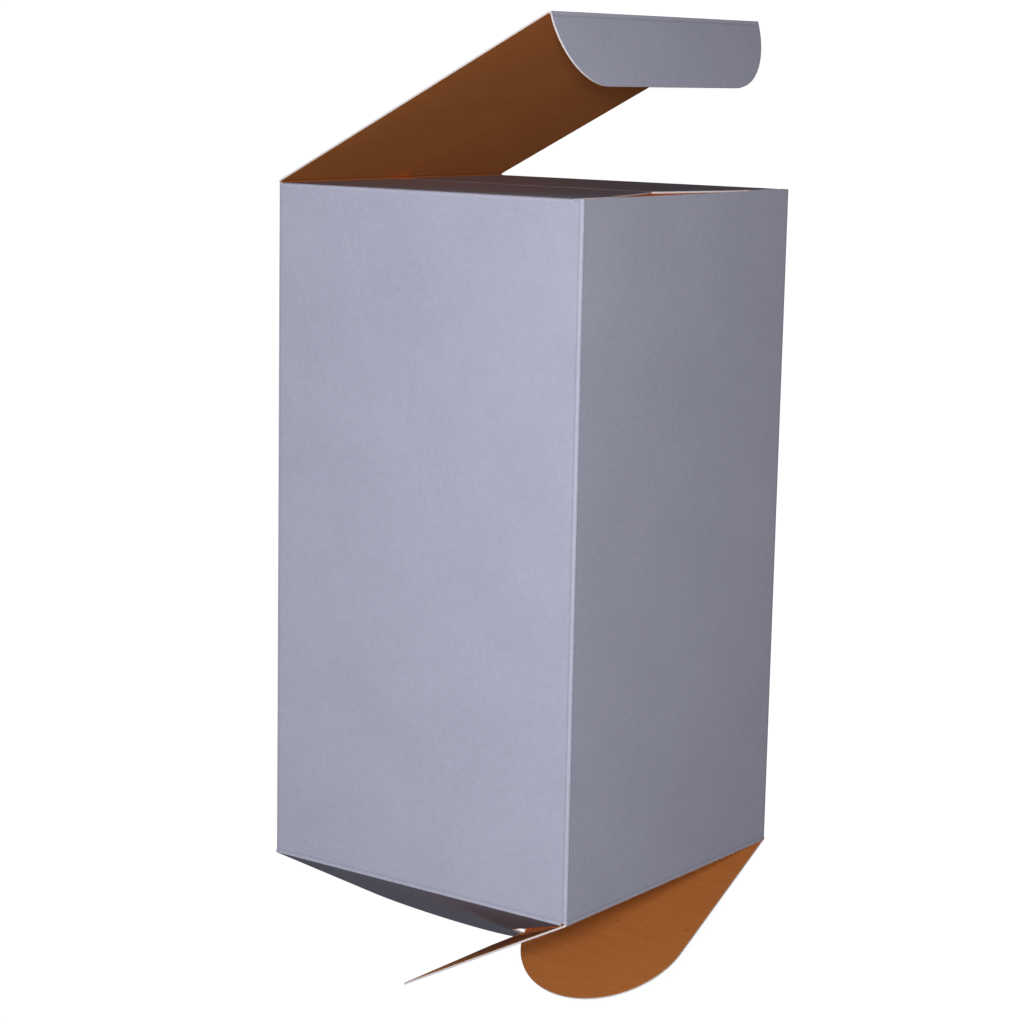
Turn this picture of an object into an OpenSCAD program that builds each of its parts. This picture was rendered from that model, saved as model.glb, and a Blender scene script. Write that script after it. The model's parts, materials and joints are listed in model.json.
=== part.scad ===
// Upright folding carton of square section, lying on its right wall.
// It is drawn standing, mouth up, and laid down as the last step:
// front wall +X (the tuck flap's side), back wall -X (the lid's side),
// left wall -Y, right wall +Y, bottom creases at Z = 0.

/* [Box] */
// Outer side of the square section
box_side = 80; // [60:1:110]
// Height from the bottom creases to the lid's crease
box_h = 150; // [80:1:240]

/* [Board] */
// Thickness of the cardboard
board_t = 0.45; // [0.3:0.05:0.7]
// Inner radius of the folds that stay folded
fold_inner_r = 0.25; // [0.1:0.05:0.5]
// Gap between a wall's end and the round root of its flap, and over the rim
crease_gap = 0.2; // [0.15:0.05:0.35]

/* [Lid] */
// Angle of the open lid above the mouth
lid_rise = 27; // [5:1:90]
// How much narrower than the box the lid is, on each side
lid_side_clear = 0.2; // [0.1:0.05:0.6]

/* [Tuck flap] */
// Depth of the tuck flap from its crease
tuck_depth = 15; // [10:0.5:20]
// Radius of the tuck flap's two corners
tuck_corner_r = 15; // [4:0.5:15]
// Fold between the lid and the tuck flap, from flat
tuck_fold = 100; // [95:1:104]
// Gap between the crease of the tucked flap and the front wall
tuck_wall_gap = 0.1; // [0.05:0.05:0.4]
// Gap between the tucked flap and the left and right walls
tuck_side_gap = 0.25; // [0.1:0.05:0.6]

/* [Dust flaps] */
// Gap between the ends of the two dust flaps
dust_meet_gap = 0.4; // [0.2:0.1:2]
// Slot between a dust flap's shoulder and the front wall
tuck_slot = 2; // [1.9:0.1:4]
// Depth of the shoulder, from the outside of the wall
shoulder_depth = 13.5; // [6:0.5:20]
// Step at the end of the shoulder
shoulder_step = 0.7; // [0.3:0.1:2]
// Slant of the edge beyond the shoulder
dust_taper = 15; // [5:1:20]
// Gap between a dust flap and the back wall
dust_back_gap = 0.6; // [0.3:0.1:2]
// Cut that frees each end of a dust flap's fold from its wall
relief_cut = 0.2; // [0.1:0.05:0.4]
// Radius of the dust flap's back corner
dust_corner_r = 6; // [2:0.5:12]

/* [Bottom flaps] */
// Angle of the loosely closed bottom flaps below level
bottom_droop = 28; // [24:1:45]
// Gap between a flap's straight side and the box's corner
flap_side_gap = 0.15; // [0.1:0.05:0.5]
// Smallest gap between one bottom flap and the next
flap_clear = 0.15; // [0.1:0.05:0.4]
// How far a round lobe's centre stays short of the box's middle
lobe_short = 6; // [4:0.5:9]
// How far a lobe's side passes the box's middle plane
lobe_cross = 0.35; // [0.1:0.05:0.6]
// How far the hook beside a lobe passes the middle plane
hook_cross = 1.2; // [0.8:0.1:1.4]
// How far the hook's end stays short of the box's middle
hook_short = 1.5; // [1.2:0.1:3]
// How far the front and back flaps reach past the box's middle
side_past = 3; // [0:0.5:5]

/* [Glue seam] */
// Width of the glued strip inside the right wall
glue_w = 13; // [8:1:20]
// Distance of the glued strip from the rim and from the bottom
glue_end_gap = 3; // [1.5:0.5:6]
// Slant of the glued strip's two ends
glue_taper = 15; // [5:1:30]
// Depth of the line that the joined edge leaves at the corner
seam_line = 0.12; // [0.05:0.01:0.2]

/* [Hidden] */
$fn = 48;
outside_colour = "#a9a9bc";
inside_colour = "#a0622f";
half = box_side / 2;
crease_off = half - board_t / 2;        // from the box's middle to a crease's axis
crease_end = board_t / 2 + crease_gap;  // from a crease's axis to the wall's end
fold_r = fold_inner_r + board_t;
rim_z = box_h - crease_end;
inner_half = half - board_t;
lid_w = box_side - 2 * lid_side_clear;
lid_len = crease_off + inner_half - board_t / 2 - tuck_wall_gap;
tuck_w = 2 * (inner_half - tuck_side_gap);
dust_back = -inner_half + dust_back_gap;           // a dust flap's edge by the back wall
dust_front = inner_half - tuck_slot;               // its shoulder's edge by the front wall
flap_u = half - flap_side_gap;                     // a bottom flap's straight side
middle_s = crease_off / cos(bottom_droop);         // from a bottom crease to the middle
root_cut = (board_t + flap_clear) / sin(bottom_droop); // clears the next flap's root
lobe_r = (flap_u + lobe_cross) / 2;
side_reach = middle_s + side_past;
eps = 0.02;

// Stands a flap drawn flat on a wall: 0 left, 1 front, 2 right, 3 back.
// Its crease runs along X, it reaches along +Y, and its outer face is up on the lid.
module on_wall(wall, z, rise) {
    rotate([0, 0, 90 * wall])
        translate([0, -crease_off, z])
            rotate([rise, 0, 0])
                children();
}

// Lays the standing box on its right wall, its middle over the origin
module laid() {
    translate([0, -box_h / 2, half])
        rotate([-90, 0, 0])
            children();
}

// A flat sheet of board with its crease's round root along X
module board_flap(root_from, root_to) {
    linear_extrude(board_t, center = true)
        children();
    translate([root_from, 0, 0])
        rotate([0, 90, 0])
            cylinder(d = board_t, h = root_to - root_from);
}

module rounded_square(side, r) {
    straight = side - 2 * r;
    square([side, straight], center = true);
    square([straight, side], center = true);
    for (x = [-1, 1], y = [-1, 1])
        translate([x, y] * straight / 2)
            circle(r);
}

// Cross-section of the four walls. The fourth corner is the glued joint, so the
// right wall ends there in a square cut edge beside the back wall's fold.
module wall_section() {
    difference() {
        union() {
            rounded_square(box_side, fold_r);
            translate([-half, half - fold_r])
                square(fold_r);
        }
        rounded_square(box_side - 2 * board_t, fold_inner_r);
        translate([-half - eps, half - board_t - seam_line])
            square([seam_line + eps, seam_line]);
    }
}

// Strip that carries on from the back wall and is glued inside the right wall
module glue_strip() {
    low = crease_end + glue_end_gap;
    high = rim_z - glue_end_gap;
    slant = glue_w * tan(glue_taper);
    translate([-inner_half - eps, inner_half + eps, 0])
        rotate([90, 0, 0])
            linear_extrude(board_t + eps)
                polygon([[0, low], [glue_w, low + slant], [glue_w, high - slant], [0, high]]);
}

module dust_outline() {
    step_depth = shoulder_depth + shoulder_step;
    reach = half - dust_meet_gap / 2;
    narrowed = dust_front - shoulder_step - (reach - step_depth) * tan(dust_taper);
    polygon([
        [dust_back, fold_r], [dust_front, fold_r], [dust_front, shoulder_depth],
        [dust_front - shoulder_step, step_depth], [narrowed, reach],
        [dust_back + dust_corner_r, reach], [dust_back, reach - dust_corner_r]
    ]);
    translate([dust_back + dust_corner_r, reach - dust_corner_r])
        circle(dust_corner_r);
}

// Dust flap folded in level from the top of the left wall. Its fold stands on
// the wall's top edge, face to face.
module dust_flap() {
    translate([0, -half, rim_z - board_t])
        linear_extrude(board_t)
            dust_outline();
    translate([dust_front, fold_r - half, rim_z - fold_r])
        rotate([90, 0, -90])
            rotate_extrude(angle = 90)
                translate([fold_inner_r, 0])
                    square([board_t, dust_front - dust_back]);
}

// Room for a dust flap's fold at the top of the left wall
module fold_room() {
    translate([dust_back - relief_cut, -half - eps, rim_z - fold_r])
        cube([dust_front - dust_back + 2 * relief_cut, fold_r + eps, fold_r + eps]);
}

module standing_body() {
    difference() {
        translate([0, 0, crease_end])
            linear_extrude(rim_z - crease_end)
                wall_section();
        fold_room();
        mirror([0, 1, 0])
            fold_room();
    }
    glue_strip();
}

module carton_body() {
    color(outside_colour)
        laid()
            standing_body();
}

module dust_flap_left() {
    color(outside_colour)
        laid()
            dust_flap();
}

module dust_flap_right() {
    color(outside_colour)
        laid()
            mirror([0, 1, 0])
                dust_flap();
}

module lid() {
    color(outside_colour)
        laid()
            on_wall(3, box_h, lid_rise)
                board_flap(-lid_w / 2, lid_w / 2)
                    translate([-lid_w / 2, 0])
                        square([lid_w, lid_len - crease_end]);
}

// Straight crease edge, both far corners rounded
module tuck_outline() {
    intersection() {
        translate([-tuck_w / 2, 0])
            square([tuck_w, tuck_depth]);
        union() {
            translate([-tuck_w / 2, 0])
                square([tuck_w, max(tuck_depth - tuck_corner_r, eps)]);
            translate([tuck_corner_r - tuck_w / 2, 0])
                square([tuck_w - 2 * tuck_corner_r, tuck_depth]);
            for (side = [-1, 1])
                translate([side * (tuck_w / 2 - tuck_corner_r), tuck_depth - tuck_corner_r])
                    circle(tuck_corner_r, $fn = 96);
        }
    }
}

module tuck_flap() {
    color(outside_colour)
        laid()
            on_wall(3, box_h, lid_rise)
                translate([0, lid_len, 0])
                    rotate([-tuck_fold, 0, 0])
                        board_flap(-tuck_w / 2, tuck_w / 2)
                            tuck_outline();
}

// Left and right bottom flaps: one straight side, one side slanted to clear the
// next flap, a hook at the middle and a round lobe that passes under its twin
module lobed_outline() {
    lobe_u = lobe_r - flap_u;
    lobe_s = middle_s - lobe_short;
    hook_s = middle_s - hook_short;
    slant_s = half - hook_cross;
    polygon([
        [-flap_u, 0], [crease_off - root_cut, 0], [hook_cross, slant_s],
        [hook_cross, hook_s], [lobe_u, hook_s], [lobe_u, lobe_s], [-flap_u, lobe_s]
    ]);
    translate([lobe_u, lobe_s])
        circle(lobe_r, $fn = 96);
}

// Front and back bottom flaps: one straight side, one side slanted the same way
module plain_outline() {
    polygon([
        [-flap_u, 0], [crease_off - root_cut, 0],
        [half - side_reach, side_reach], [-flap_u, side_reach]
    ]);
}

module bottom_flap(wall) {
    color(inside_colour)
        laid()
            on_wall(wall, 0, -bottom_droop)
                board_flap(-flap_u, crease_off - root_cut)
                    children();
}

module bottom_flap_left() bottom_flap(0) lobed_outline();
module bottom_flap_front() bottom_flap(1) plain_outline();
module bottom_flap_right() bottom_flap(2) lobed_outline();
module bottom_flap_back() bottom_flap(3) plain_outline();

carton_body();
dust_flap_left();
dust_flap_right();
lid();
tuck_flap();
bottom_flap_left();
bottom_flap_front();
bottom_flap_right();
bottom_flap_back();
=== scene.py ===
"""Upright folding carton, lying on one wall: coated board outside, brown kraft inside."""
import json
import math

import bmesh
import bpy
from mathutils import Matrix, Vector


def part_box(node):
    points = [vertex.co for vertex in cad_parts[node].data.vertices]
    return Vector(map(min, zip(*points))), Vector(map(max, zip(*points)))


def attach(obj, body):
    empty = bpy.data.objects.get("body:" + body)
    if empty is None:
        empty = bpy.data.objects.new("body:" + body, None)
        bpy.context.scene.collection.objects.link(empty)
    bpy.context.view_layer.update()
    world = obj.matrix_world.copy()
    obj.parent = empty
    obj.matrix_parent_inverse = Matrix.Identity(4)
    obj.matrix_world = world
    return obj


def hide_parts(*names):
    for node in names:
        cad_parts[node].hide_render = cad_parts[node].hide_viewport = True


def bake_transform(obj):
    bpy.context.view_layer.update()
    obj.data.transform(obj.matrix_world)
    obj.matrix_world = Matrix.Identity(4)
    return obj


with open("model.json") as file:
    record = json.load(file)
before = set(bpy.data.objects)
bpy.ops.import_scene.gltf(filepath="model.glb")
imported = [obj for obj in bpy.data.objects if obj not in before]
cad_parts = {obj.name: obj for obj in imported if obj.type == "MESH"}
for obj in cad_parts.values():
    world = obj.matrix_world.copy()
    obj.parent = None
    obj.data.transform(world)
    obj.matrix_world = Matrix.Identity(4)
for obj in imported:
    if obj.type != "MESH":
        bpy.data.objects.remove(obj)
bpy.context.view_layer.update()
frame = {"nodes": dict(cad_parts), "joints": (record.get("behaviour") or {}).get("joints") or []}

# The box lies on its right wall. Its front wall is towards +X, and its mouth towards +Y.
TO_FRONT = Vector((1, 0, 0))
TO_MOUTH = Vector((0, 1, 0))
UP = Vector((0, 0, 1))

MM = 0.001

# The carton's driving sizes, as its source gives them
BOX_SIDE = 80 * MM                # outer side of the square section
BOX_HEIGHT = 150 * MM             # from the bottom's creases to the lid's
BOARD = 0.45 * MM                 # thickness of the board
FOLD_INNER_R = 0.25 * MM          # inner radius of the folds that stay folded
CREASE_GAP = 0.2 * MM             # between a wall's end and the round root of its flap
GLUE_STRIP_W = 13 * MM            # width of the glued strip inside the right wall
LID_ANGLE = math.radians(27)      # of the open lid, above the mouth
TUCK_FOLD = math.radians(100)     # of the tuck flap, from flat with the lid
BOTTOM_DROOP = math.radians(28)   # of the bottom flaps, below level

# What follows from them
HALF = BOX_SIDE / 2
MID_Z = HALF                      # height of the box's middle as it lies
HALF_BOARD = BOARD / 2
FOLD_R = FOLD_INNER_R + BOARD
FLAT_END = HALF - FOLD_R          # from a wall's middle to where its fold starts
CREASE_Y = BOX_HEIGHT / 2         # creases of the lid and of the bottom, from the middle
CREASE_END = HALF_BOARD + CREASE_GAP  # from a crease's axis to the end of the wall or flap
RIM_Y = CREASE_Y - CREASE_END

# What the dressed board adds to the plain one
WALL_BOW = 0.3 * MM               # how far a wall gives in at its middle
BOW_CELL = 5 * MM                 # cells that a wall is cut into, so that it can bow
CUT_ROUND = 0.05 * MM             # rounding of a cut edge
CREASE_BEAD = 0.05 * MM           # how far the pinched plies stand up inside a crease
BEAD_REACH = 0.12 * MM            # from the middle of that bead to its foot
FOLD_STEPS = 12                   # flat steps in the outer bend of a crease

# Distances from a fold, in millimetres. Flat faces are cut there, so that they have points that
# hold how near the fold is.
PRESSED_LINE = 0.8                # the creasing rule's mark, and the first cut of a flap
FIRST_ON_WALL = 0.9               # clear of the round fold, which ends before it
BY_FOLD = (1.2, 1.6, 2.2, 3.2)

# Allowances, in lengths, in angles and in how far two directions agree
HAIR = 0.01 * MM                  # in telling where a point or a face lies
CLOSE_CUTS = 0.006 * MM           # points of the walls nearer than this become one
SAME_POINT = 0.001 * MM
ON_PLANE = 0.00001 * MM
ONE_FLAT = math.radians(0.5)      # faces that turn less than this are one flat face
ONE_CURVE = math.radians(20)      # steps that turn less than this are shaded as one curve
SHORN = math.radians(50)          # edges that turn more than this are shorn ones
SAME_WAY = 0.99                   # least dot product of two directions that count as one

# Order of the board's three finishes in every piece's material slots
COATED, KRAFT, CUT = 0, 1, 2

# A mix node's colour sockets, by number, because its sockets of other kinds share their names
MIX_A, MIX_B, MIXED = 6, 7, 2


def crease_line(name):
    """The place and the axis of the joint of that name."""
    joint = next(j for j in frame["joints"] if j["name"] == name)
    return Vector(joint["pos_m"]), Vector(joint["axis"])


def turned(vector, axis, angle):
    """The vector turned about an axis through the origin."""
    return Matrix.Rotation(angle, 3, axis) @ vector


def colour(hex_code):
    """An sRGB hex colour as linear RGBA."""
    channels = [int(hex_code[i:i + 2], 16) / 255 for i in (1, 3, 5)]
    return [c / 12.92 if c <= 0.04045 else ((c + 0.055) / 1.055) ** 2.4 for c in channels] + [1]


def per_metre(size_mm):
    """How many features of that size fit in a metre: a texture's scale."""
    return 1000 / size_mm


def add(tree, kind, settings=None, inputs=None):
    """Adds a node to a tree, with its settings, and a value or a link for each input."""
    node = tree.nodes.new(kind)
    for name, value in (settings or {}).items():
        setattr(node, name, value)
    for socket, value in (inputs or {}).items():
        if isinstance(value, bpy.types.NodeSocket):
            tree.links.new(value, node.inputs[socket])
        else:
            node.inputs[socket].default_value = value
    return node


def material(name):
    """A new material, its node tree and its shader."""
    made = bpy.data.materials.new(name)
    made.use_nodes = True
    tree = made.node_tree
    return made, tree, tree.nodes["Principled BSDF"]


def clay_coat():
    """Folding boxboard's printed side: clay coating, calendered, with a matt aqueous varnish.
    It gives the eye an even lavender grey with a soft sheen, a faint cloudiness from the fibres
    below, and a paler broken line where the coating cracks along a fold."""
    made, tree, shader = material("clay_coated_board_lavender_grey")
    place = add(tree, "ShaderNodeTexCoord").outputs["Object"]
    cloud = add(tree, "ShaderNodeTexNoise", inputs={
        "Vector": place, "Scale": per_metre(22), "Detail": 3, "Roughness": 0.55})
    # The coating's mottle is about 0.4 mm. It is drawn at 1.1 mm so that it shows.
    mottle = add(tree, "ShaderNodeTexNoise", inputs={
        "Vector": place, "Scale": per_metre(1.1), "Detail": 4, "Roughness": 0.6})
    both = add(tree, "ShaderNodeMath", {"operation": "MULTIPLY_ADD"}, {
        0: cloud.outputs["Fac"], 1: 0.7, 2: mottle.outputs["Fac"]})
    even = add(tree, "ShaderNodeMapRange", inputs={
        "Value": both.outputs[0], "From Min": 0.55, "From Max": 1.15})
    tone = add(tree, "ShaderNodeMix", {"data_type": "RGBA"}, {
        "Factor": even.outputs[0], MIX_A: colour("#a4a4b5"), MIX_B: colour("#aeaebf")})

    # Distances from the fold are in millimetres, as the attribute is
    cracked_from, cracked_to = 0.15, 0.6
    line_reach = 0.3
    from_fold = add(tree, "ShaderNodeAttribute", {"attribute_name": "from_fold"})
    crack_noise = add(tree, "ShaderNodeTexNoise", inputs={
        "Vector": place, "Scale": per_metre(0.8), "Detail": 3, "Roughness": 0.7})
    near_fold = add(tree, "ShaderNodeMapRange", inputs={
        "Value": from_fold.outputs["Fac"], "From Min": cracked_to, "From Max": cracked_from})
    broken = add(tree, "ShaderNodeMapRange", inputs={
        "Value": crack_noise.outputs["Fac"], "From Min": 0.42, "From Max": 0.7,
        "To Min": 0.08, "To Max": 0.45})
    cracked = add(tree, "ShaderNodeMath", {"operation": "MULTIPLY"}, {
        0: near_fold.outputs[0], 1: broken.outputs[0]})
    worn = add(tree, "ShaderNodeMix", {"data_type": "RGBA"}, {
        "Factor": cracked.outputs[0], MIX_A: tone.outputs[MIXED], MIX_B: colour("#c6c5d2")})

    # The creasing rule leaves a shallow pressed line on each side of the fold. Its groove is drawn
    # in the bump. Its darker colour is partly the pressed board's own tone and partly painted shade
    # of that groove.
    off_line = add(tree, "ShaderNodeMath", {"operation": "SUBTRACT"}, {
        0: from_fold.outputs["Fac"], 1: PRESSED_LINE})
    beside_line = add(tree, "ShaderNodeMath", {"operation": "ABSOLUTE"}, {0: off_line.outputs[0]})
    groove = add(tree, "ShaderNodeMapRange", {"interpolation_type": "SMOOTHSTEP"}, {
        "Value": beside_line.outputs[0], "From Min": 0.0, "From Max": line_reach})
    pressed_and_shaded = add(tree, "ShaderNodeMapRange", inputs={
        "Value": groove.outputs[0], "From Min": 0.0, "From Max": 1.0, "To Min": 0.35, "To Max": 0.0})
    # The pressed line's darker grey: partly the pressed board's tone, partly painted shade
    creased_and_shaded = add(tree, "ShaderNodeMix", {"data_type": "RGBA"}, {
        "Factor": pressed_and_shaded.outputs[0], MIX_A: worn.outputs[MIXED], MIX_B: colour("#7f7f8e")})
    relief = add(tree, "ShaderNodeMath", {"operation": "MULTIPLY_ADD"}, {
        0: mottle.outputs["Fac"], 1: 0.18, 2: groove.outputs[0]})
    bump = add(tree, "ShaderNodeBump", inputs={
        "Strength": 0.35, "Distance": 0.03 * MM, "Height": relief.outputs[0]})
    sheen = add(tree, "ShaderNodeMapRange", inputs={
        "Value": both.outputs[0], "From Min": 0.5, "From Max": 1.2, "To Min": 0.58, "To Max": 0.68})

    tree.links.new(creased_and_shaded.outputs[MIXED], shader.inputs["Base Color"])
    tree.links.new(sheen.outputs[0], shader.inputs["Roughness"])
    tree.links.new(bump.outputs[0], shader.inputs["Normal"])
    shader.inputs["IOR"].default_value = 1.5
    shader.inputs["Specular IOR Level"].default_value = 0.1
    return made


def kraft_side():
    """Folding boxboard's inner side: uncoated, unbleached kraft pulp.
    It gives the eye a dull warm brown with fine streaks along the paper machine's direction,
    which runs round the box, and scattered darker and paler fibres."""
    made, tree, shader = material("uncoated_unbleached_kraft")
    place = add(tree, "ShaderNodeTexCoord").outputs["Object"]
    # Fibres are about 0.03 mm wide and 2 mm long. Their streaks are drawn 0.4 mm wide and 14 mm
    # long so that they show.
    lie = add(tree, "ShaderNodeMapping", inputs={
        "Vector": place, "Scale": (per_metre(14), per_metre(0.4), per_metre(14))})
    streak = add(tree, "ShaderNodeTexNoise", inputs={
        "Vector": lie.outputs[0], "Scale": 1, "Detail": 5, "Roughness": 0.6})
    cloud = add(tree, "ShaderNodeTexNoise", inputs={
        "Vector": place, "Scale": per_metre(16), "Detail": 3, "Roughness": 0.55})
    both = add(tree, "ShaderNodeMath", {"operation": "MULTIPLY_ADD"}, {
        0: cloud.outputs["Fac"], 1: 0.5, 2: streak.outputs["Fac"]})
    even = add(tree, "ShaderNodeMapRange", inputs={
        "Value": both.outputs[0], "From Min": 0.45, "From Max": 1.05})
    tone = add(tree, "ShaderNodeMix", {"data_type": "RGBA"}, {
        "Factor": even.outputs[0], MIX_A: colour("#ac652f"), MIX_B: colour("#b86f36")})

    # Single fibres lie at all angles, and stand out darker or paler
    fleck_lie = add(tree, "ShaderNodeMapping", inputs={
        "Vector": place, "Rotation": (0.4, 0.9, 0.6),
        "Scale": (per_metre(2.6), per_metre(0.5), per_metre(1.6))})
    fleck = add(tree, "ShaderNodeTexNoise", inputs={
        "Vector": fleck_lie.outputs[0], "Scale": 1, "Detail": 2, "Roughness": 0.5})
    dark_share = add(tree, "ShaderNodeMapRange", inputs={
        "Value": fleck.outputs["Fac"], "From Min": 0.66, "From Max": 0.76, "To Max": 0.4})
    dark = add(tree, "ShaderNodeMix", {"data_type": "RGBA"}, {
        "Factor": dark_share.outputs[0], MIX_A: tone.outputs[MIXED], MIX_B: colour("#8a4d22")})
    pale_share = add(tree, "ShaderNodeMapRange", inputs={
        "Value": fleck.outputs["Fac"], "From Min": 0.34, "From Max": 0.24, "To Max": 0.28})
    pale = add(tree, "ShaderNodeMix", {"data_type": "RGBA"}, {
        "Factor": pale_share.outputs[0], MIX_A: dark.outputs[MIXED], MIX_B: colour("#cc955f")})

    # Inside a crease the pulp is pressed into a hard ridge. Its darker colour there is partly the
    # pressed pulp's own tone and partly painted shade of the crease.
    crease_shade_full, crease_shade_end = 0.4, 0.9
    from_fold = add(tree, "ShaderNodeAttribute", {"attribute_name": "from_fold"})
    in_crease = add(tree, "ShaderNodeMapRange", inputs={
        "Value": from_fold.outputs["Fac"], "From Min": crease_shade_end, "From Max": crease_shade_full,
        "To Max": 0.6})
    pressed_and_shaded = add(tree, "ShaderNodeMix", {"data_type": "RGBA"}, {
        "Factor": in_crease.outputs[0], MIX_A: pale.outputs[MIXED], MIX_B: colour("#663a1a")})
    bump = add(tree, "ShaderNodeBump", inputs={
        "Strength": 0.4, "Distance": 0.03 * MM, "Height": both.outputs[0]})

    tree.links.new(pressed_and_shaded.outputs[MIXED], shader.inputs["Base Color"])
    tree.links.new(bump.outputs[0], shader.inputs["Normal"])
    shader.inputs["Roughness"].default_value = 0.86
    shader.inputs["IOR"].default_value = 1.47
    shader.inputs["Specular IOR Level"].default_value = 0.3
    return made


def cut_edge():
    """The board's die-cut edge: three plies of pulp, shorn and slightly fuzzy.
    It gives the eye a thin pale line, with the coating as a bright rim on one side and a
    warmer brown ply on the other."""
    made, tree, shader = material("die_cut_board_edge")
    place = add(tree, "ShaderNodeTexCoord").outputs["Object"]
    # The plies are drawn from the board's thickness: 0 is the kraft face, 1 the coated face
    ply = add(tree, "ShaderNodeAttribute", {"attribute_name": "ply"})
    above_brown = add(tree, "ShaderNodeMapRange", inputs={
        "Value": ply.outputs["Fac"], "From Min": 0.12, "From Max": 0.3})
    brown_ply = add(tree, "ShaderNodeMix", {"data_type": "RGBA"}, {
        "Factor": above_brown.outputs[0], MIX_A: colour("#c09a75"), MIX_B: colour("#dcd9dd")})
    in_coating = add(tree, "ShaderNodeMapRange", inputs={
        "Value": ply.outputs["Fac"], "From Min": 0.88, "From Max": 0.95})
    coating = add(tree, "ShaderNodeMix", {"data_type": "RGBA"}, {
        "Factor": in_coating.outputs[0], MIX_A: brown_ply.outputs[MIXED], MIX_B: colour("#e9e8ee")})
    # Shorn fibre ends are about 0.03 mm. They are drawn at 0.15 mm so that they show.
    fuzz = add(tree, "ShaderNodeTexNoise", inputs={
        "Vector": place, "Scale": per_metre(0.15), "Detail": 3, "Roughness": 0.7})
    shade = add(tree, "ShaderNodeMapRange", inputs={
        "Value": fuzz.outputs["Fac"], "From Min": 0.3, "From Max": 0.7,
        "To Min": 0.88, "To Max": 1.0})
    fibrous = add(tree, "ShaderNodeMix", {"data_type": "RGBA", "blend_type": "MULTIPLY"}, {
        "Factor": 1, MIX_A: coating.outputs[MIXED], MIX_B: shade.outputs[0]})
    bump = add(tree, "ShaderNodeBump", inputs={
        "Strength": 0.5, "Distance": 0.02 * MM, "Height": fuzz.outputs["Fac"]})

    tree.links.new(fibrous.outputs[MIXED], shader.inputs["Base Color"])
    tree.links.new(bump.outputs[0], shader.inputs["Normal"])
    shader.inputs["Roughness"].default_value = 0.92
    shader.inputs["IOR"].default_value = 1.47
    shader.inputs["Specular IOR Level"].default_value = 0.2
    return made


FINISHES = [clay_coat(), kraft_side(), cut_edge()]


def merged_copy(node):
    """The CAD node's mesh as one closed shell of whole flat faces."""
    shell = bmesh.new()
    shell.from_mesh(frame["nodes"][node].data)
    bmesh.ops.remove_doubles(shell, verts=shell.verts, dist=SAME_POINT)
    bmesh.ops.dissolve_limit(
        shell, angle_limit=ONE_FLAT, verts=shell.verts, edges=shell.edges)
    shell.normal_update()
    return shell


def slice_at(shell, place, direction, keep_ahead=False):
    """Cuts the shell's faces along a plane. With keep_ahead, only what lies ahead stays, closed."""
    everything = shell.verts[:] + shell.edges[:] + shell.faces[:]
    bmesh.ops.bisect_plane(
        shell, geom=everything, dist=ON_PLANE, plane_co=place, plane_no=direction,
        clear_inner=keep_ahead)
    if keep_ahead:
        open_edges = [e for e in shell.edges if e.is_boundary]
        bmesh.ops.holes_fill(shell, edges=open_edges, sides=0)
        shell.normal_update()


def flat_board(shell, outward):
    """The flat board made anew from the outline of its coated face, with plain square sides."""
    coated = [f for f in shell.faces if f.normal.dot(outward) > SAME_WAY]
    if len(coated) > 1:
        coated = bmesh.ops.dissolve_faces(shell, faces=coated)["region"]
    outline = [v.co.copy() for v in coated[0].verts]
    shell.clear()
    above = [shell.verts.new(point) for point in outline]
    below = [shell.verts.new(point - outward * BOARD) for point in outline]
    shell.faces.new(above)
    shell.faces.new(below[::-1])
    for i in range(len(outline)):
        shell.faces.new((above[i - 1], below[i - 1], below[i], above[i]))
    shell.normal_update()


def soften(shell, may_round):
    """Rounds the sharp outer edges whose middles may be rounded, as shorn board is."""
    sharp = [
        e for e in shell.edges
        if e.is_manifold and e.calc_face_angle_signed(0) > SHORN
        and may_round((e.verts[0].co + e.verts[1].co) / 2)]
    bmesh.ops.bevel(
        shell, geom=sharp, offset=CUT_ROUND, segments=2, profile=0.5, affect="EDGES",
        clamp_overlap=True)
    shell.normal_update()


def finish_facing(coated_side):
    """The finish of a face, from how squarely it looks the coated side's way, from -1 to 1."""
    square_on = 0.75
    return COATED if coated_side > square_on else KRAFT if coated_side < -square_on else CUT


def mark_points(shell, from_fold, ply):
    """Gives each point its distance from the nearest fold, in millimetres, and its ply, from 0 on
    the kraft face to 1 on the coated one. The finishes read both."""
    fold_layer = shell.verts.layers.float.new("from_fold")
    ply_layer = shell.verts.layers.float.new("ply")
    for v in shell.verts:
        v[fold_layer] = from_fold(v.co) / MM
        v[ply_layer] = min(max(ply(v.co), 0), 1)


def dressed(shell, name):
    """The shell as an object with the three finishes, shaded as one curve over each small step."""
    shell.normal_update()
    for face in shell.faces:
        face.smooth = True
    for edge in shell.edges:
        a, b = edge.link_faces
        curved = a.normal.dot(b.normal) > math.cos(ONE_CURVE)
        edge.smooth = curved and a.material_index == b.material_index
    mesh = bpy.data.meshes.new(name)
    shell.to_mesh(mesh)
    shell.free()
    for finish in FINISHES:
        mesh.materials.append(finish)
    piece = bpy.data.objects.new(name, mesh)
    bpy.context.scene.collection.objects.link(piece)
    return piece


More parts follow.
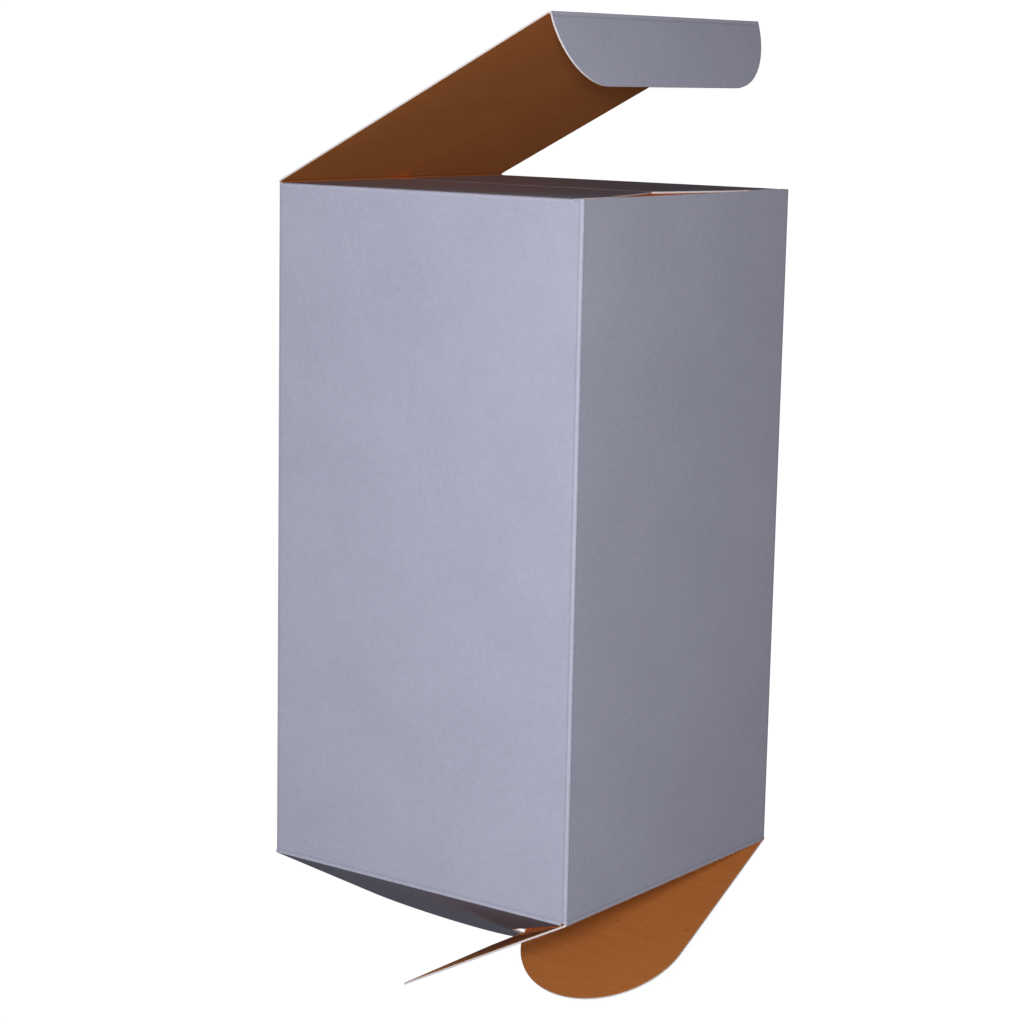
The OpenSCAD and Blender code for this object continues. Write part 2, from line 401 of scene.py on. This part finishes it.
def panel(node, body, crease, reach, outward, far_crease=None):
    """A flat flap, or the lid, which has a second crease that far away. It is the CAD node without
    its round root, whose place the crease's own strip of board takes. reach points from the crease
    into the flap, and outward to its coated side."""
    shell = merged_copy(node)
    slice_at(shell, crease + reach * CREASE_END, reach, keep_ahead=True)
    flat_board(shell, outward)
    creased_ends = [CREASE_END] + ([far_crease - CREASE_END] if far_crease else [])

    def along(point):
        return (point - crease).dot(reach)

    def from_fold(point):
        return min(along(point), far_crease - along(point)) if far_crease else along(point)

    def ply(point):
        return 0.5 + (point - crease).dot(outward) / BOARD

    soften(shell, lambda middle: all(abs(along(middle) - end) > HAIR for end in creased_ends))
    for face in shell.faces:
        face.material_index = finish_facing(face.normal.dot(outward))
    cuts = [step * MM for step in (PRESSED_LINE,) + BY_FOLD]
    if far_crease:
        cuts += [far_crease - cut for cut in cuts]
    for cut in cuts:
        slice_at(shell, crease + reach * cut, reach)
    bmesh.ops.remove_doubles(shell, verts=shell.verts, dist=SAME_POINT)
    mark_points(shell, from_fold, ply)

    piece = dressed(shell, node + "_board")
    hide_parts(node)
    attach(piece, body)


def dust_flap_board(node, side):
    """A top dust flap with its own fold. side is 1 on the left wall, which is the upper one as the
    box lies, and -1 on the right wall."""
    shell = merged_copy(node)
    centre = Vector((0, RIM_Y - FOLD_R, MID_Z + side * FLAT_END))
    # The rounding of the cut edges ends in the flat of the flap, clear of the fold's short steps
    round_to = HALF - 1 * MM

    def from_middle(point):
        return side * (point.z - MID_Z)

    def in_fold(point):
        return side * (point.z - centre.z) > 0

    def outward(point):
        away = Vector((0, point.y - centre.y, point.z - centre.z))
        return away.normalized() if in_fold(point) else TO_MOUTH

    def from_fold(point):
        return max(0.0, HALF - from_middle(point))

    def ply(point):
        depth = RIM_Y - point.y
        if in_fold(point):
            depth = FOLD_R - math.hypot(point.y - centre.y, point.z - centre.z)
        return 1 - depth / BOARD

    slice_at(shell, UP * (MID_Z + side * round_to), UP * side)
    soften(shell, lambda middle: from_middle(middle) < round_to - HAIR)
    for face in shell.faces:
        middle = face.calc_center_median()
        stands_on_wall = abs(middle.y - centre.y) < 2 * HAIR
        facing = face.normal.dot(outward(middle))
        face.material_index = CUT if stands_on_wall else finish_facing(facing)
    for step in BY_FOLD:
        slice_at(shell, UP * (MID_Z + side * (HALF - step * MM)), UP * side)
    mark_points(shell, from_fold, ply)

    piece = dressed(shell, node + "_board")
    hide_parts(node)
    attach(piece, "carton")


def wall_finish(face):
    """The finish of a face of the walls or of the glued strip. Faces that look along the box or
    along their own wall are shorn edges."""
    middle = face.calc_center_median()
    x, z = middle.x, middle.z - MID_Z
    normal = face.normal
    on_side_wall = abs(z) > FLAT_END >= abs(x)
    on_end_wall = abs(x) > FLAT_END >= abs(z)
    strip_start = -HALF + BOARD
    past_strip = -HALF + GLUE_STRIP_W + 1 * MM
    on_strip = strip_start < x < past_strip and z < -(HALF - 2 * BOARD - HAIR)
    at_seam = x < -HALF + HAIR and middle.z < BOARD + HAIR
    half_way = 0.5
    cut = (
        abs(normal.y) > half_way or at_seam
        or (on_side_wall and abs(normal.z) < half_way)
        or (on_end_wall and abs(normal.x) < half_way))
    if cut and not (on_strip and abs(normal.z) > half_way):
        return CUT
    return COATED if normal.x * x + normal.z * z > 0 else KRAFT


def cut_into_cells(shell):
    """Cuts the walls into cells, so that they can bow, and finer beside the folds and creases."""
    cells_across = round(HALF / BOW_CELL)
    cells_along = round(CREASE_Y / BOW_CELL)
    for i in range(1 - cells_across, cells_across):
        slice_at(shell, TO_FRONT * (i * BOW_CELL), TO_FRONT)
        slice_at(shell, UP * (MID_Z + i * BOW_CELL), UP)
    for i in range(1 - cells_along, cells_along):
        slice_at(shell, TO_MOUTH * (i * BOW_CELL), TO_MOUTH)
    for step in (FIRST_ON_WALL,) + BY_FOLD:
        for sign in (-1, 1):
            across = sign * (HALF - step * MM)
            slice_at(shell, TO_FRONT * across, TO_FRONT)
            slice_at(shell, UP * (MID_Z + across), UP)
            slice_at(shell, TO_MOUTH * (sign * (CREASE_Y - step * MM)), TO_MOUTH)
    bmesh.ops.remove_doubles(shell, verts=shell.verts, dist=CLOSE_CUTS)


def bow(shell):
    """Bends each wall in, most at its middle and not at all at its folds and ends."""
    for v in shell.verts:
        x, z = v.co.x, v.co.z - MID_Z
        along = math.sin(math.pi * (v.co.y + CREASE_Y) / BOX_HEIGHT) ** 2
        if abs(z) >= abs(x):
            v.co.z -= math.copysign(WALL_BOW * along * math.cos(math.pi * x / BOX_SIDE), z)
        else:
            v.co.x -= math.copysign(WALL_BOW * along * math.cos(math.pi * z / BOX_SIDE), x)


def walls_board():
    """The four walls with their folds and the glued strip, very slightly bowed inwards."""
    shell = merged_copy("carton_body")

    def from_fold(point):
        to_corner = HALF - min(abs(point.x), abs(point.z - MID_Z))
        to_bottom = point.y + CREASE_Y
        on_front = point.x > HALF - 2 * BOARD and abs(point.z - MID_Z) < FLAT_END
        to_top = math.inf if on_front else CREASE_Y - point.y
        return max(0.0, min(to_corner, to_bottom, to_top))

    def ply(point):
        x, z = abs(point.x), abs(point.z - MID_Z)
        depth = HALF - max(x, z)
        if min(x, z) > FLAT_END:
            depth = FOLD_R - math.hypot(x - FLAT_END, z - FLAT_END)
        # The glued strip is a second board inside the wall
        if depth > BOARD + HAIR:
            depth -= BOARD
        return 1 - depth / BOARD

    # Only the front wall's rim is a free cut edge. The other ends are under a fold or a crease.
    soften(shell, lambda middle: middle.y > RIM_Y - HAIR and middle.x > FLAT_END)
    for face in shell.faces:
        face.material_index = wall_finish(face)
    cut_into_cells(shell)
    mark_points(shell, from_fold, ply)
    bow(shell)

    piece = dressed(shell, "walls_board")
    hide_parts("carton_body")
    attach(piece, "carton")


def crease_tree():
    """Sweeps a folded section of board along its crease and closes both ends."""
    tree = bpy.data.node_groups.new("board_swept_along_its_crease", "GeometryNodeTree")
    sockets = tree.interface
    sockets.new_socket("Geometry", in_out="INPUT", socket_type="NodeSocketGeometry")
    sockets.new_socket("Crease length", in_out="INPUT", socket_type="NodeSocketFloat")
    sockets.new_socket("Merge distance", in_out="INPUT", socket_type="NodeSocketFloat")
    sockets.new_socket("Finish", in_out="INPUT", socket_type="NodeSocketMaterial")
    sockets.new_socket("Geometry", in_out="OUTPUT", socket_type="NodeSocketGeometry")
    given = add(tree, "NodeGroupInput")
    swept = add(tree, "GeometryNodeExtrudeMesh", {"mode": "FACES"}, {
        "Mesh": given.outputs["Geometry"], "Offset Scale": given.outputs["Crease length"]})
    near_end = add(tree, "GeometryNodeFlipFaces", inputs={"Mesh": given.outputs["Geometry"]})
    joined = add(tree, "GeometryNodeJoinGeometry")
    tree.links.new(near_end.outputs[0], joined.inputs[0])
    tree.links.new(swept.outputs["Mesh"], joined.inputs[0])
    closed = add(tree, "GeometryNodeMergeByDistance", inputs={
        "Geometry": joined.outputs[0], "Distance": given.outputs["Merge distance"]})
    real = add(tree, "GeometryNodeRealizeInstances", inputs={"Geometry": closed.outputs[0]})
    finished = add(tree, "GeometryNodeSetMaterial", inputs={
        "Geometry": real.outputs[0], "Material": given.outputs["Finish"]})
    add(tree, "NodeGroupOutput", inputs={"Geometry": finished.outputs[0]})
    return tree


CREASE_TREE = crease_tree()


def swept_board(section, along, length):
    """The section swept along the crease by the tree above, as a shell that faces outwards."""
    outline = bmesh.new()
    face = outline.faces.new([outline.verts.new(point) for point in section])
    face.normal_update()
    if face.normal.dot(along) < 0:
        face.normal_flip()
    mesh = bpy.data.meshes.new("section")
    outline.to_mesh(mesh)
    outline.free()
    drawn = bpy.data.objects.new("section", mesh)
    bpy.context.scene.collection.objects.link(drawn)
    sweep = drawn.modifiers.new("sweep", "NODES")
    sweep.node_group = CREASE_TREE
    sockets = {
        item.name: item.identifier for item in CREASE_TREE.interface.items_tree
        if item.in_out == "INPUT"}
    sweep[sockets["Crease length"]] = length
    sweep[sockets["Merge distance"]] = SAME_POINT
    sweep[sockets["Finish"]] = FINISHES[COATED]
    graph = bpy.context.evaluated_depsgraph_get()
    swept = bpy.data.meshes.new_from_object(drawn.evaluated_get(graph))
    bpy.data.objects.remove(drawn)
    bpy.data.meshes.remove(mesh)
    shell = bmesh.new()
    shell.from_mesh(swept)
    bpy.data.meshes.remove(swept)
    bmesh.ops.recalc_face_normals(shell, faces=shell.faces)
    return shell


def mitre(wall, flap):
    """How far from the crease's axis the inner faces of wall and flap meet."""
    return HALF_BOARD / math.tan(wall.angle(flap) / 2)


def crease_section(along, wall, wall_out, flap, flap_out):
    """The bent board in section, about the crease's axis: its outer face, then its inner one."""
    turn = wall_out.angle(flap_out)
    if wall_out.cross(flap_out).dot(along) < 0:
        turn = -turn
    straight = (0.25, 0.5, 0.75, 1)
    outer = [wall_out * HALF_BOARD + wall * CREASE_END * share for share in reversed(straight)]
    for i in range(FOLD_STEPS + 1):
        outer.append(turned(wall_out, along, turn * i / FOLD_STEPS) * HALF_BOARD)
    outer += [flap_out * HALF_BOARD + flap * CREASE_END * share for share in straight]

    # The inner points stand closer together at the bead
    inner_shares = (0.15, 0.3, 0.5, 0.75, 1)
    corner = mitre(wall, flap)
    beyond = CREASE_END - corner
    meeting = flap * corner - flap_out * HALF_BOARD
    inner = [flap * (corner + beyond * share) - flap_out * HALF_BOARD for share in inner_shares]
    inner = inner[::-1] + [meeting]
    inner += [wall * (corner + beyond * share) - wall_out * HALF_BOARD for share in inner_shares]
    inwards = (wall + flap).normalized()

    def pinched(point):
        near = max(0.0, 1 - abs(point.length - meeting.length) / BEAD_REACH)
        return point + inwards * CREASE_BEAD * near

    # The pinched plies stand up as a bead inside the fold
    return outer + [pinched(point) for point in inner]


def crease_board(name, place, along, wall_side, flap_side, ends):
    """The bent strip of board between a wall and its flap.
    place and along are the crease's axis, and ends are where the board starts and stops along it.
    wall_side and flap_side hold the way from the crease and the way that the coated side looks."""
    wall, flap = wall_side[0], flap_side[0]
    start = place + along * (ends[0] - place.dot(along))
    section = crease_section(along, *wall_side, *flap_side)
    shell = swept_board([start + point for point in section], along, ends[1] - ends[0])
    inwards = (wall + flap).normalized()

    def in_section(point):
        from_start = point - start
        return from_start - along * from_start.dot(along)

    for face in shell.faces:
        middle = in_section(face.calc_center_median())
        meets_board = any(abs(middle.dot(way) - CREASE_END) < HAIR for way in (wall, flap))
        if meets_board or abs(face.normal.dot(along)) > SAME_WAY:
            face.material_index = CUT
        else:
            face.material_index = COATED if face.normal.dot(inwards) < 0 else KRAFT
    mark_points(
        shell, lambda point: in_section(point).length,
        lambda point: 1 if in_section(point).dot(inwards) < 0 else 0)

    piece = dressed(shell, name)
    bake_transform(piece)


def lid_and_tuck_flap():
    """The lid on the back wall's crease, and the tuck flap on the lid's free edge."""
    lid_place, _ = crease_line("lid_crease")
    tuck_place, _ = crease_line("tuck_crease")
    lid_reach = TO_FRONT * math.cos(LID_ANGLE) + TO_MOUTH * math.sin(LID_ANGLE)
    lid_out = TO_MOUTH * math.cos(LID_ANGLE) - TO_FRONT * math.sin(LID_ANGLE)
    tuck_reach = turned(lid_reach, UP, -TUCK_FOLD)
    tuck_out = turned(lid_out, UP, -TUCK_FOLD)
    lid_length = (tuck_place - lid_place).length
    panel("lid", "lid", lid_place, lid_reach, lid_out, far_crease=lid_length)
    panel("tuck_flap", "tuck_flap", tuck_place, tuck_reach, tuck_out)

    lid_lowest, lid_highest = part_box("lid")
    tuck_lowest, tuck_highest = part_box("tuck_flap")
    crease_board(
        "lid_crease_board", lid_place, UP, (-TO_MOUTH, -TO_FRONT),
        (lid_reach, lid_out), (lid_lowest.z, lid_highest.z))
    crease_board(
        "tuck_crease_board", tuck_place, UP, (-lid_reach, lid_out),
        (tuck_reach, tuck_out), (tuck_lowest.z, tuck_highest.z))


def bottom_flap(side, inwards):
    """The bottom flap on one wall, and its crease. inwards points from that wall into the box."""
    node = "bottom_flap_" + side
    body = "bottom_" + side
    place, axis = crease_line(body + "_crease")
    reach = inwards * math.cos(BOTTOM_DROOP) - TO_MOUTH * math.sin(BOTTOM_DROOP)
    outward = -inwards * math.sin(BOTTOM_DROOP) - TO_MOUTH * math.cos(BOTTOM_DROOP)
    panel(node, body, place, reach, outward)

    along = Vector([abs(c) for c in axis])
    root = [
        v.co.dot(along) for v in frame["nodes"][node].data.vertices
        if (v.co - place).dot(reach) < HAIR]
    crease_board(
        body + "_crease_board", place, along, (TO_MOUTH, -inwards),
        (reach, outward), (min(root), max(root)))


# What the floor sends to the eye: its own glow, and the same with the lamps' light far from the box
FLOOR_GLOW = 0.9
FAR_FLOOR_GLOW = 0.921


def floor():
    """A plain pale floor, which looks white but throws little light back up. It lies just clear of
    the box, and its edges are out of sight in every view."""
    bpy.ops.mesh.primitive_plane_add(size=24, location=-UP * 0.02 * MM)
    sheet = bpy.context.object
    sheet.name = "floor"
    paper, tree, shader = material("matt_white_background_paper")
    # The paper glows evenly and takes little from the lamps, so that their edges hardly show on it
    shader.inputs["Base Color"].default_value = colour("#7c7c7c")
    shader.inputs["Roughness"].default_value = 0.95
    shader.inputs["Emission Color"].default_value = (1, 1, 1, 1)
    shader.inputs["Emission Strength"].default_value = FLOOR_GLOW
    # To the box it is dim, as with dark flags round the table
    flag = add(tree, "ShaderNodeBsdfDiffuse", inputs={"Color": colour("#505050")})
    seen = add(tree, "ShaderNodeMixShader", inputs={
        0: add(tree, "ShaderNodeLightPath").outputs["Is Camera Ray"],
        1: flag.outputs[0], 2: shader.outputs[0]})
    tree.links.new(seen.outputs[0], tree.nodes["Material Output"].inputs["Surface"])
    sheet.data.materials.append(paper)


def lamp(name, place, target, size, watts, tint=(1, 1, 1)):
    """A round soft lamp that looks at its target."""
    light = bpy.data.lights.new(name, "AREA")
    light.shape = "DISK"
    light.size = size
    light.energy = watts
    light.color = tint
    lit = bpy.data.objects.new(name, light)
    lit.location = place
    lit.rotation_euler = (Vector(target) - Vector(place)).to_track_quat("-Z", "Y").to_euler()
    bpy.context.scene.collection.objects.link(lit)


def lamps():
    """A near lamp beside the camera, weak ones over, behind and below the box, and one inside."""
    middle = (0, 0, MID_Z)
    lamp("key", place=(0.316, 0.107, 0.5), target=(0, 0, 0.03), size=0.09, watts=2.88)
    lamp(
        "cool_overhead", place=(0, 0.12, 0.75), target=middle, size=0.2, watts=0.4,
        tint=(0.55, 0.68, 1))
    lamp("fill_behind", place=(-1, 0.3, 0.16), target=middle, size=0.4, watts=6)
    lamp("fill_below", place=(-0.35, -1, 0.3), target=middle, size=0.5, watts=0.45)
    # The photograph's lamp at the eye lights the inside too. Here a small one inside, before the
    # back wall, does it, so that the kraft side shows through the slot.
    lamp(
        "inside", place=(-0.037, 0.01, MID_Z), target=(HALF, 0.01, MID_Z), size=0.05, watts=0.06)


def background():
    """Weak even light from all round, and a pale tone behind the floor for the eye."""
    sky = bpy.data.worlds.new("soft_studio")
    bpy.context.scene.world = sky
    sky.use_nodes = True
    air = sky.node_tree
    dim = air.nodes["Background"]
    dim.inputs["Color"].default_value = (1, 1, 1, 1)
    dim.inputs["Strength"].default_value = 0.08
    # The same tone as the far part of the floor has, so that no horizon shows
    pale = add(air, "ShaderNodeBackground", inputs={
        "Color": (1, 1, 1, 1), "Strength": FAR_FLOOR_GLOW})
    beyond = add(air, "ShaderNodeMixShader", inputs={
        0: add(air, "ShaderNodeLightPath").outputs["Is Camera Ray"],
        1: dim.outputs[0], 2: pale.outputs[0]})
    air.links.new(beyond.outputs[0], air.nodes["World Output"].inputs["Surface"])
    bpy.context.scene.view_settings.view_transform = "Standard"


def camera():
    """Looks down on the lying carton from the photograph's viewing angle. Its place and its turn
    were solved from the box's corners in the photograph."""
    lens = bpy.data.cameras.new("camera")
    lens.lens = 89.78
    lens.sensor_width = 36
    lens.clip_start = 0.01
    view = bpy.data.objects.new("camera", lens)
    place = Vector((0.3295, 0.0995, 0.4954))
    forward = Vector((-0.58358, -0.17066, -0.79392)).normalized()
    up = Vector((-0.11711, 0.98513, -0.12568)).normalized()
    right = forward.cross(up).normalized()
    up = right.cross(forward)
    turn = Matrix((right, up, -forward)).transposed().to_4x4()
    view.matrix_world = Matrix.Translation(place) @ turn
    bpy.context.scene.collection.objects.link(view)
    bpy.context.scene.camera = view


walls_board()
dust_flap_board("dust_flap_left", 1)
dust_flap_board("dust_flap_right", -1)
lid_and_tuck_flap()
bottom_flap("left", -UP)
bottom_flap("right", UP)
bottom_flap("front", -TO_FRONT)
bottom_flap("back", TO_FRONT)

floor()
lamps()
background()
camera()
